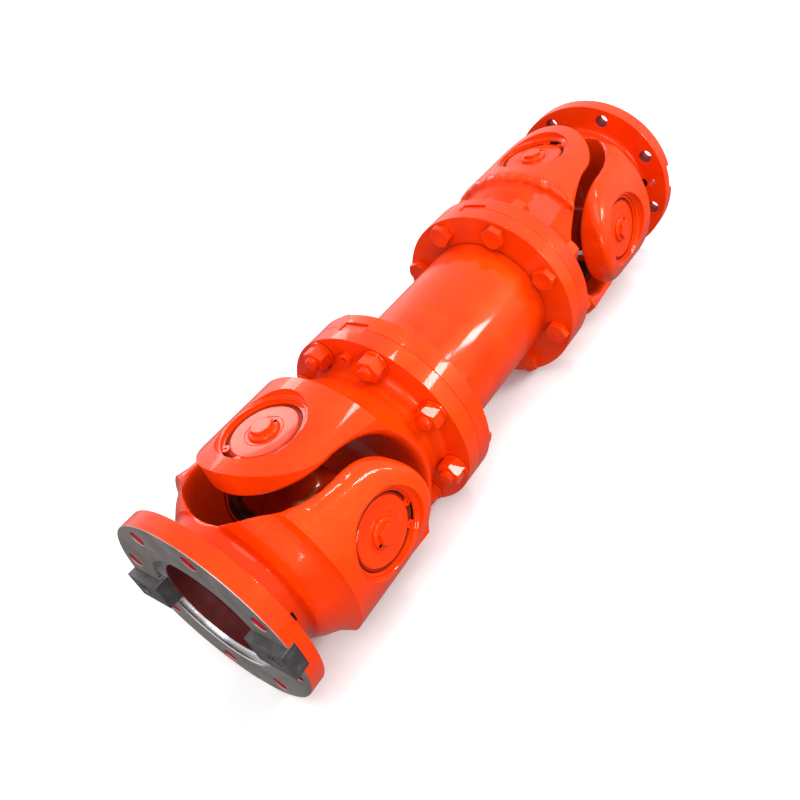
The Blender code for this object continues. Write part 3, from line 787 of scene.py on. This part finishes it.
def socket_screw(name, top, head_h, head_r, shank_r, end, socket):
    """Socket-head screw along X, its head towards -X and the head's edge broken."""
    made = turned(name, [*broken(top, head_r, 0.9 * MM, 1, (0.4, 0.35)), (top + head_h, head_r),
                         (top + head_h, shank_r), *steps(end, shank_r, (-1, 0), (0, -1))], sides=48)
    return cut(made, extruded("socket", hexagon(socket), top - MM, top + head_h * 0.6, "X"))


def coupling_key(name):
    """Key across the parting plane of a middle flange pair, along +Z."""
    made = block(name, (-MID_KEY_SUNK, -KEY_WIDTH / 2, KEY_INNER_R + MM),
                 (MID_KEY_SUNK, KEY_WIDTH / 2, MID_KEY_OUTER_R))
    return bevelled(made, 0.8 * MM, 2)


def wiper_seal(name):
    """Rubber wiper in the sleeve's mouth round the splined shaft."""
    mouth = SLEEVE_MOUTH_X
    inner = SPLINE_MAJOR_R + 4.6 * MM
    return lathe(name, [
        *steps(mouth, SEAL_R, (-13, -0.2)),
        *steps(mouth, inner, (-13, 3), (-9, 0), (-3, 0), (-1.2, 1), (-0.6, 4)),
        *steps(mouth, SEAL_R, (-1.4, -2), (-2, -0.2))], sides=96, ring=True)


# ---------------------------------------------------------------- materials


class Nodes:
    """Short hand for a material's node tree round its Principled shader."""

    def __init__(self, name, colour, metallic=0.0, roughness=0.5, **sockets):
        self.material = bpy.data.materials.new(name)
        self.material.use_nodes = True
        self.material.diffuse_color = (*colour, 1)
        self.tree = self.material.node_tree
        self.shader = self.tree.nodes["Principled BSDF"]
        self.set(self.shader, Metallic=metallic, Roughness=roughness)
        self.set(self.shader, **{k.replace("_", " "): v for k, v in sockets.items()})
        self.shader.inputs["Base Color"].default_value = (*colour, 1)
        self.at = self.add("ShaderNodeTexCoord").outputs["Object"]

    def set(self, node, **values):
        for key, value in values.items():
            node.inputs[key].default_value = value

    def add(self, kind, **props):
        node = self.tree.nodes.new(kind)
        for key, value in props.items():
            setattr(node, key, value)
        return node

    def link(self, source, target):
        self.tree.links.new(source, target)

    def noise(self, scale, detail=2.0, rough=0.5, source=None, distortion=0.0):
        node = self.add("ShaderNodeTexNoise")
        self.set(node, Scale=scale, Detail=detail, Roughness=rough, Distortion=distortion)
        self.link(source or self.at, node.inputs["Vector"])
        return node.outputs["Fac"]

    def ramp(self, source, low, high, from_value=0.0, to_value=1.0):
        node = self.add("ShaderNodeMapRange", clamp=True)
        self.link(source, node.inputs["Value"])
        ends = {"From Min": low, "From Max": high, "To Min": from_value, "To Max": to_value}
        self.set(node, **ends)
        return node.outputs["Result"]

    def maths(self, operation, a, b=None):
        node = self.add("ShaderNodeMath", operation=operation)
        for socket, value in zip(node.inputs, (a, b)):
            if value is None:
                continue
            if isinstance(value, (int, float)):
                socket.default_value = value
            else:
                self.link(value, socket)
        return node.outputs["Value"]

    def mix(self, share, a, b):
        node = self.add("ShaderNodeMix", data_type="RGBA")
        self.link(share, node.inputs[0])
        for socket, value in ((node.inputs[6], a), (node.inputs[7], b)):
            if isinstance(value, tuple):
                socket.default_value = (*value, 1)
            else:
                self.link(value, socket)
        return node.outputs[2]

    def bump(self, height, distance, strength=1.0, under=None):
        node = self.add("ShaderNodeBump")
        self.set(node, Strength=strength, Distance=distance)
        self.link(height, node.inputs["Height"])
        if under is not None:
            self.link(under, node.inputs["Normal"])
        return node.outputs["Normal"]

    def colour(self, output):
        self.link(output, self.shader.inputs["Base Color"])

    def rough(self, output):
        self.link(output, self.shader.inputs["Roughness"])

    def normal(self, output):
        self.link(output, self.shader.inputs["Normal"])


ORANGE = (0.80, 0.044, 0.0006)
DEEP_ORANGE = (0.66, 0.028, 0.0004)
PALE_ORANGE = (0.84, 0.068, 0.006)
GLOSS_TINT = (1, 0.30, 0.06, 1)


def enamel(name, texture, depth, full=ORANGE, thin=DEEP_ORANGE):
    """Glossy sprayed enamel: orange peel, thick and thin coats, dull dusty patches."""
    m = Nodes(name, ORANGE, roughness=0.3, Specular_IOR_Level=0.2, Specular_Tint=GLOSS_TINT,
              Coat_Weight=0.34, Coat_Roughness=0.06)
    coats = m.noise(9, 4, 0.6)
    tone = m.mix(m.ramp(coats, 0.35, 0.68), thin, full)
    dust = m.noise(38, 6, 0.65, distortion=0.4)
    dusty = m.ramp(dust, 0.58, 0.80, 0.0, 0.55 if full == ORANGE else 0.0)
    m.colour(m.mix(dusty, tone, PALE_ORANGE))
    m.rough(m.ramp(dust, 0.3, 0.75, 0.24, 0.44))
    peel = m.bump(m.noise(420, 2, 0.5), 0.00012, 0.55)
    sag = m.bump(m.noise(46, 2, 0.4), 0.0008, 0.35, peel)
    m.normal(m.bump(m.noise(texture, 3, 0.55, distortion=0.3), depth, 0.8, sag))
    return m.material


def radius_from_x_axis(m):
    """Distance from the shaft's axis, for marks that run round it."""
    parts = m.add("ShaderNodeSeparateXYZ")
    m.link(m.at, parts.inputs["Vector"])
    squares = [m.maths("MULTIPLY", parts.outputs[a], parts.outputs[a]) for a in ("Y", "Z")]
    return m.maths("SQRT", m.maths("ADD", *squares))


def faced_steel(name, tone, worn, roughness):
    """Bare flange face as the lathe left it: concentric feed marks, stains and scratches."""
    m = Nodes(name, tone, metallic=1.0, roughness=roughness)
    turned = radius_from_x_axis(m)
    feed = m.maths("SINE", m.maths("MULTIPLY", turned, 2 * math.pi / (5.2 * MM)))
    stains = m.noise(22, 5, 0.62, distortion=0.6)
    m.colour(m.mix(m.ramp(stains, 0.36, 0.70), worn, tone))
    bands = m.maths("SINE", m.maths("MULTIPLY", turned, 2 * math.pi / (3.7 * MM)))
    uneven = m.maths("ADD", bands, m.maths("MULTIPLY", m.noise(24, 3, 0.5), 2.5))
    m.rough(m.ramp(uneven, -0.5, 3, roughness - 0.05, roughness + 0.11))
    marks = m.bump(m.ramp(feed, -1, 1), 0.00007, 0.5)
    m.normal(m.bump(m.noise(160, 2, 0.5), 0.00006, 0.2, marks))
    return m.material


def plain_steel(name, tone, worn, roughness, grain):
    """Ground or blackened steel, with handling marks."""
    m = Nodes(name, tone, metallic=0.9, roughness=roughness)
    stains = m.noise(45, 5, 0.65, distortion=0.5)
    m.colour(m.mix(m.ramp(stains, 0.40, 0.72), tone, worn))
    m.rough(m.ramp(m.noise(130, 3, 0.6), 0.3, 0.7, roughness - 0.08, roughness + 0.14))
    m.normal(m.bump(m.noise(grain, 3, 0.6), 0.00008, 0.5))
    return m.material


def matt_paint(name, tone, other, roughness):
    """Thin, dull paint in the recesses: dark tones that stand in as painted shade in holes, grooves, gaps
    and the primed pocket.
    """
    m = Nodes(name, tone, roughness=roughness, Specular_IOR_Level=0.15)
    m.colour(m.mix(m.ramp(m.noise(30, 5, 0.65), 0.35, 0.7), tone, other))
    m.rough(m.ramp(m.noise(80, 3, 0.6), 0.3, 0.7, roughness - 0.1, roughness + 0.12))
    m.normal(m.bump(m.noise(220, 4, 0.6), 0.0004, 0.6))
    return m.material


def rubber(name, tone, misted):
    """Rubber lip, with paint mist where the gun reached it."""
    m = Nodes(name, tone, roughness=0.5, Specular_IOR_Level=0.3)
    m.colour(m.mix(m.ramp(m.noise(60, 4, 0.6), 0.42, 0.75), tone, misted))
    m.rough(m.ramp(m.noise(140, 3, 0.6), 0.3, 0.7, 0.38, 0.62))
    m.normal(m.bump(m.noise(500, 2, 0.5), 0.00006, 0.5))
    return m.material


CAST_PAINT = enamel("orange_enamel_cast", 150, 0.0007)
SMOOTH_PAINT = enamel("orange_enamel_smooth", 240, 0.00012)
FACE_STEEL = faced_steel("faced_steel", (0.52, 0.47, 0.46), (0.34, 0.29, 0.27), 0.40)
BRIGHT_STEEL = faced_steel("bright_turned_steel", (0.80, 0.78, 0.79), (0.60, 0.58, 0.59), 0.22)
KEY_STEEL = plain_steel("blackened_steel", (0.105, 0.097, 0.10), (0.19, 0.18, 0.18), 0.42, 260)
BEARING_STEEL = plain_steel("ground_steel", (0.46, 0.45, 0.44), (0.30, 0.27, 0.24), 0.28, 420)
# Dark red primer in the pockets, made darker than the primer itself as painted shade of the deep pocket.
PRIMER_AND_SHADE = matt_paint("pocket_primer_and_shade", (0.085, 0.005, 0.005), (0.045, 0.003, 0.003), 0.6)
# Deep red for the bolt-hole walls: painted shade of the orange paint inside the holes.
HOLE_SHADE_PAINT = matt_paint("hole_painted_shade", (0.42, 0.014, 0.018), (0.22, 0.007, 0.010), 0.5)
# Near black: painted shade in the circlip grooves, the scallops behind the flange and the plug vents.
PAINTED_SHADE_BLACK = matt_paint("groove_painted_shade", (0.014, 0.005, 0.004), (0.006, 0.003, 0.003), 0.6)
# Dark red in the ring between cup disc and circlip: painted shade of the gap.
GAP_SHADE_PAINT = matt_paint("gap_painted_shade", (0.26, 0.012, 0.002), (0.10, 0.006, 0.002), 0.5)
RUBBER = rubber("black_rubber", (0.010, 0.009, 0.009), (0.032, 0.028, 0.027))
MISTED_RUBBER = rubber("misted_rubber", (0.022, 0.005, 0.004), (0.13, 0.010, 0.004))
# Darker copy of the orange enamel for the crosses: painted shade for the parts deep inside the yokes.
SHADED_PAINT = enamel("orange_enamel_painted_shade", 150, 0.0007, (0.30, 0.012, 0.001), (0.16, 0.007, 0.001))


def paint_faces(obj, base, *rules):
    """Give each face the first material whose rule its centre and normal meet, or the base."""
    mesh = obj.data
    mesh.materials.clear()
    for material in (base, *[m for m, _ in rules]):
        mesh.materials.append(material)
    count = len(mesh.polygons)
    centre, normal = np.empty(count * 3, np.float32), np.empty(count * 3, np.float32)
    mesh.polygons.foreach_get("center", centre)
    mesh.polygons.foreach_get("normal", normal)
    centre, normal = centre.reshape(-1, 3), normal.reshape(-1, 3)
    index = np.zeros(count, np.int32)
    for number, (_, rule) in reversed(list(enumerate(rules, start=1))):
        index[rule(centre, normal)] = number
    mesh.polygons.foreach_set("material_index", index)
    mesh.update()
    return obj


def around_x(c):
    return np.hypot(c[:, 1], c[:, 2])


def around_z(c, x=0.0):
    """Distance of face centres from the Z axis, or from a line beside it."""
    return np.hypot(c[:, 0] - x, c[:, 1])


# Circlip groove faces, which get the near-black painted shade.
def in_ring_groove(c, n):
    height, radius = np.abs(c[:, 2]), around_z(c)
    return (height > RING_LOW - 0.2 * MM) & (height < RING_HIGH + 0.2 * MM) & (
        radius > BORE_R - 0.1 * MM) & (radius < RING_GROOVE_R + MM)


def paint_end_fork(obj, bare):
    """Orange casting; the front fork's face is bare steel, its pocket dark primer with painted shade, its
    bolt holes a red painted shade, and its ring grooves and scallops a near-black painted shade.
    """
    face = END_REACH
    inner = POCKET_R + 2.5 * MM

    # Bolt-hole walls, which get the deep red painted shade.
    def holes(c, n):
        near = np.zeros(len(c), bool)
        for angle in BOLT_ANGLES:
            y, z = BOLT_CIRCLE_R * math.cos(angle), BOLT_CIRCLE_R * math.sin(angle)
            near |= np.hypot(c[:, 1] - y, c[:, 2] - z) < BOLT_HOLE_R + 0.2 * MM
        return near & (c[:, 0] > face - END_FLANGE_T - MM) & (np.abs(n[:, 0]) < 0.3)

    # Pocket faces, which get the dark primer with its painted shade.
    def pocket(c, n):
        return (c[:, 0] > face - POCKET_DEPTH - MM) & (c[:, 0] < face - REGISTER_DEPTH - 0.4 * MM) & (
            around_x(c) < POCKET_R + 0.6 * MM)

    def register(c, n):
        return (c[:, 0] > face - REGISTER_DEPTH - 2 * MM) & (
            around_x(c) < REGISTER_R + 1.6 * MM) & (around_x(c) > POCKET_R)

    def slots(c, n):
        return (c[:, 0] > face - END_KEY_SUNK - 0.3 * MM) & (c[:, 0] < face - 0.2 * MM) & (
            np.abs(c[:, 1]) < KEY_WIDTH / 2 + MM) & (around_x(c) > inner)

    def flat(c, n):
        return (c[:, 0] > face - 1.1 * MM) & (n[:, 0] > 0.3)

    # Faces inside the scallops behind the flange, which get the near-black painted shade.
    def scallops(c, n):
        return (np.hypot(c[:, 1], np.abs(c[:, 2]) - SCALLOP_POS_R) < SCALLOP_R + 0.1 * MM) & (
            np.abs(c[:, 0] - face + END_FLANGE_T + 6 * MM) < 10.5 * MM)

    # The groove, scallop, hole and pocket rules paint shade into those recesses.
    rules = [(PAINTED_SHADE_BLACK, in_ring_groove), (PAINTED_SHADE_BLACK, scallops), (HOLE_SHADE_PAINT, holes), (PRIMER_AND_SHADE, pocket)]
    if bare:
        rules += [(BRIGHT_STEEL, register), (FACE_STEEL, slots), (FACE_STEEL, flat)]
    return paint_faces(obj, CAST_PAINT, *rules)


# ---------------------------------------------------------------- assembly


def copy_of(source, name):
    """Another object on the same mesh."""
    return new_object(name, source.data)


def fine_copy(source, node, body, matrix):
    """A copy of a finished piece that stands for one CAD node."""
    finish_piece(copy_of(source, f"{node}_fine"), body, [node], matrix)


def build_forks():
    """The four yokes, each with its cups, circlips and plugs."""
    end = end_fork("fork")
    front = paint_end_fork(end, bare=True)
    rear = paint_end_fork(new_object("rear", end.data.copy()), bare=False)
    # The inner yokes' circlip grooves get the near-black painted shade.
    inner = paint_faces(inner_fork("inner"), CAST_PAINT, (PAINTED_SHADE_BLACK, in_ring_groove))
    lumpy = paint_faces(inner_fork("lumpy", lumps=7 * MM), CAST_PAINT, (PAINTED_SHADE_BLACK, in_ring_groove))
    forks = (
        (front, "front_flange_yoke", FRONT_AT @ TURN_X @ QUARTER_X, "front_flange", "front_outer", 20),
        (inner, "front_inner_yoke", FRONT_AT, "sleeve_half", "front_inner", -28),
        (lumpy, "rear_inner_yoke", REAR_AT @ TURN_X, "shaft_half", "rear_inner", 150),
        (rear, "rear_flange_yoke", REAR_AT @ QUARTER_X, "rear_flange", "rear_outer", 60),
    )

    # Faces inside the plug's vent hole, which get the near-black painted shade.
    def vent(c, n):
        return (around_z(c, PLUG_VENT_AT) < PLUG_VENT_R + 0.1 * MM) & (
            c[:, 2] < CUP_DISC_Z + 4.3 * MM) & (c[:, 2] > CUP_DISC_Z + 0.9 * MM)

    # Cup faces in the ring beside the disc, which get the dark red painted shade.
    def ring_gap_shade(c, n):
        return (around_z(c) > CUP_DISC_R - 0.3 * MM) & (c[:, 2] < RING_HIGH - 1.5 * MM)

    cup = paint_faces(bearing_cup("cup"), SMOOTH_PAINT, (GAP_SHADE_PAINT, ring_gap_shade))
    clip = paint_faces(circlip("clip"), SMOOTH_PAINT)
    plug = paint_faces(grease_plug("plug"), SMOOTH_PAINT, (PAINTED_SHADE_BLACK, vent))
    for made, node, matrix, body, prefix, vent_turn in forks:
        made.name = f"{node}_casting"
        finish_piece(made, body, [node], matrix, angle=32)
        for side, turn in (("a", 0), ("b", math.pi)):
            at = matrix @ Matrix.Rotation(turn, 4, "X")
            for source, label in ((cup, "bearing_cup"), (clip, "circlip"), (plug, "grease_plug")):
                node = f"{prefix}_{label}_{side}"
                spin = Matrix.Rotation(math.radians(vent_turn), 4, "Z")
                own = at @ spin if label == "grease_plug" else at
                fine_copy(source, node, body, own)
    for used in (cup, clip, plug):
        bpy.data.objects.remove(used)


def build_crosses():
    """The two spiders, with a lipped seal on each journal."""
    # The spider gets the darker enamel as painted shade, and its journal ends get ground steel.
    spider = paint_faces(cross("spider"), SHADED_PAINT, (
        BEARING_STEEL, lambda c, n: np.abs(c).max(axis=1) > 84 * MM))
    seal = paint_faces(trunnion_seal(), MISTED_RUBBER)
    for end, at in (("front", FRONT_AT), ("rear", REAR_AT)):
        body = f"{end}_spider"
        forged = copy_of(spider, f"{end}_cross_forged")
        finish_piece(forged, body, [f"{end}_cross"], at, angle=32)
        for count in range(4):
            turn = at @ Matrix.Rotation(count * math.pi / 2, 4, "X")
            finish_piece(copy_of(seal, f"{end}_trunnion_seal_{count + 1}"), body, [], turn)
    for used in (spider, seal):
        bpy.data.objects.remove(used)


def build_middle():
    """Sleeve, splined shaft and wiper."""
    def bore(c, n):
        return (around_x(c) < SPLINE_MAJOR_R + 2 * MM) & (c[:, 0] > FRONT_PARTING_X + 25 * MM)

    def rod(c, n):
        return (around_x(c) < SPLINE_MAJOR_R + 1.5 * MM) & (
            c[:, 0] < REAR_PARTING_X - MID_FLANGE_T - 12 * MM)

    tube = paint_faces(sleeve("spline_sleeve_tube"), SMOOTH_PAINT, (BEARING_STEEL, bore))
    finish_piece(tube, "sleeve_half", ["spline_sleeve"])
    made = paint_faces(shaft("spline_shaft_forged"), SMOOTH_PAINT, (BEARING_STEEL, rod))
    finish_piece(made, "shaft_half", ["spline_shaft"])
    finish_piece(paint_faces(wiper_seal("wiper_seal"), RUBBER), "sleeve_half", [])


def build_fasteners():
    """Bolt sets, coupling keys and their screws, and the face keys with theirs."""
    bolt = paint_faces(flange_bolt("bolt"), SMOOTH_PAINT)
    mid_key = paint_faces(coupling_key("mid_key"), SMOOTH_PAINT)
    back_screw = socket_screw("back_screw", top=-9 * MM, head_h=9 * MM, head_r=7.5 * MM, shank_r=4.5 * MM,
                              end=6 * MM, socket=8 * MM)
    paint_faces(back_screw, SMOOTH_PAINT)
    for pair, parting_x, turn, body in (("front", FRONT_PARTING_X, 0, "sleeve_half"),
                                        ("rear", REAR_PARTING_X, math.pi, "shaft_half")):
        at = Matrix.Translation((parting_x, 0, 0)) @ Matrix.Rotation(turn, 4, "Z")
        for side, tilt in (("top", 0), ("bottom", math.pi)):
            own = at @ Matrix.Rotation(tilt, 4, "X")
            node = f"{pair}_coupling_key_{side}"
            fine_copy(mid_key, node, body, own)
            screw_at = own @ Matrix.Translation((-MID_FLANGE_T - GAP, 0, 116 * MM))
            own_screw = copy_of(back_screw, f"{pair}_key_back_screw_{side}")
            finish_piece(own_screw, body, [], screw_at)
        for count, angle in enumerate(BOLT_ANGLES, start=1):
            own = at @ off_axis(BOLT_CIRCLE_R, angle) @ Matrix.Rotation(
                math.radians(23 * count + 11 * len(pair)), 4, "X")
            node = f"{pair}_flange_bolt_{count}"
            fine_copy(bolt, node, body, own)

    key = paint_faces(face_key("key"), KEY_STEEL)
    screw = socket_screw("screw", top=MM - END_KEY_PROUD, head_h=7.9 * MM, head_r=9 * MM, shank_r=5.9 * MM,
                         end=END_KEY_SUNK + 9.5 * MM, socket=10 * MM)
    paint_faces(screw, KEY_STEEL)
    screw.data.transform(Matrix.Translation((0, 0, KEY_SCREW_POS_R)))
    for side, tilt in (("a", math.pi / 2), ("b", -math.pi / 2)):
        own = Matrix.Translation((FRONT_FACE_X, 0, 0)) @ Matrix.Rotation(tilt, 4, "X")
        for source, label in ((key, "face_key"), (screw, "key_screw")):
            fine_copy(source, f"front_{label}_{side}", "front_flange", own)
    for used in (bolt, mid_key, back_screw, key, screw):
        bpy.data.objects.remove(used)


# ---------------------------------------------------------------- stage, light and camera


def build_stage():
    """Pale floor under the shaft."""
    floor_z = cad_box[0].z - 0.2 * MM
    bm = bmesh.new()
    bmesh.ops.create_grid(bm, x_segments=8, y_segments=8, size=40)
    mesh = bpy.data.meshes.new("floor")
    bm.to_mesh(mesh)
    bm.free()
    floor = new_object("floor", mesh)
    floor.location.z = floor_z
    m = Nodes("pale_floor", (0.8, 0.8, 0.8), roughness=0.8, Specular_IOR_Level=0.1)
    m.colour(m.mix(m.noise(3, 3, 0.5), (0.78, 0.78, 0.785), (0.82, 0.82, 0.82)))
    floor.data.materials.append(m.material)
    # The floor's own bounce is left out, so the recesses stay as deep as under a hall's roof lights
    floor.visible_diffuse = False
    floor.visible_glossy = False


def build_surround():
    """Bright even sky above the horizon, dim below it."""
    world = bpy.data.worlds.new("surround")
    bpy.context.scene.world = world
    world.use_nodes = True
    tree = world.node_tree
    shade = tree.nodes["Background"]
    shade.inputs["Color"].default_value = (1, 1, 1, 1)
    where = tree.nodes.new("ShaderNodeTexCoord")
    parts = tree.nodes.new("ShaderNodeSeparateXYZ")
    ramp = tree.nodes.new("ShaderNodeMapRange")
    tree.links.new(where.outputs["Generated"], parts.inputs["Vector"])
    tree.links.new(parts.outputs["Z"], ramp.inputs["Value"])
    for socket, value in (("From Min", -0.3), ("From Max", -0.01), ("To Min", 0.25), ("To Max", 1.0)):
        ramp.inputs[socket].default_value = value
    tree.links.new(ramp.outputs["Result"], shade.inputs["Strength"])


def aimed(name, light, azimuth, elevation, distance=0.0):
    """Light put in a direction, in degrees, from the shaft's middle and turned towards it."""
    made = new_object(name, light)
    a, e = math.radians(azimuth), math.radians(elevation)
    away = Vector((math.cos(a) * math.cos(e), math.sin(a) * math.cos(e), math.sin(e)))
    made.location = away * distance
    made.rotation_mode = "QUATERNION"
    made.rotation_quaternion = away.to_track_quat("Z", "Y")


def softbox(name, azimuth, elevation, distance, width, height, power):
    """Rectangular light aimed at the shaft's middle."""
    light = bpy.data.lights.new(name, "AREA")
    light.shape = "RECTANGLE"
    light.size, light.size_y = width, height
    light.energy = power
    aimed(name, light, azimuth, elevation, distance)


def build_lights():
    """Wide soft key from above, and soft boxes whose reflections run along the turned faces."""
    sun = bpy.data.lights.new("key", "SUN")
    sun.energy = 1.3
    sun.angle = math.radians(40)
    aimed("key", sun, -120, 62)
    softbox("window", -51, 17, 2.6, 0.14, 0.45, 10)
    softbox("high_window", -61, 27, 2.6, 0.72, 0.34, 36)
    softbox("roof_light", -30, 60, 3.0, 0.6, 0.2, 14)
    softbox("doorway", -136, 12, 2.6, 0.6, 0.9, 25)
    softbox("back_wall", 66, 30, 2.8, 0.9, 0.9, 16)


# Fitted to the photograph: lens on a full-frame sensor in mm, directions, and place in metres
SENSOR_WIDTH = 36
PHOTO_LENS = 34.69
CAMERA_AHEAD = Vector((0.5206, 0.6280, -0.5785))
CAMERA_UP = Vector((0.6434, 0.1570, 0.7493))
CAMERA_AT = Vector((FRONT_FACE_X - 0.1782, -0.6728, 0.6185))


def build_camera():
    """Camera at the photograph's viewing angle, near the front flange and above it."""
    data = bpy.data.cameras.new("camera")
    data.sensor_width = SENSOR_WIDTH
    data.lens = PHOTO_LENS
    camera = new_object("camera", data)
    ahead = CAMERA_AHEAD.normalized()
    right = ahead.cross(CAMERA_UP).normalized()
    up = right.cross(ahead)
    turn = Matrix((right, up, -ahead)).transposed().to_4x4()
    camera.matrix_world = Matrix.Translation(CAMERA_AT) @ turn
    bpy.context.scene.camera = camera


build_forks()
build_crosses()
build_middle()
build_fasteners()
build_stage()
build_surround()
build_lights()
build_camera()
bpy.context.scene.view_settings.view_transform = "Standard"
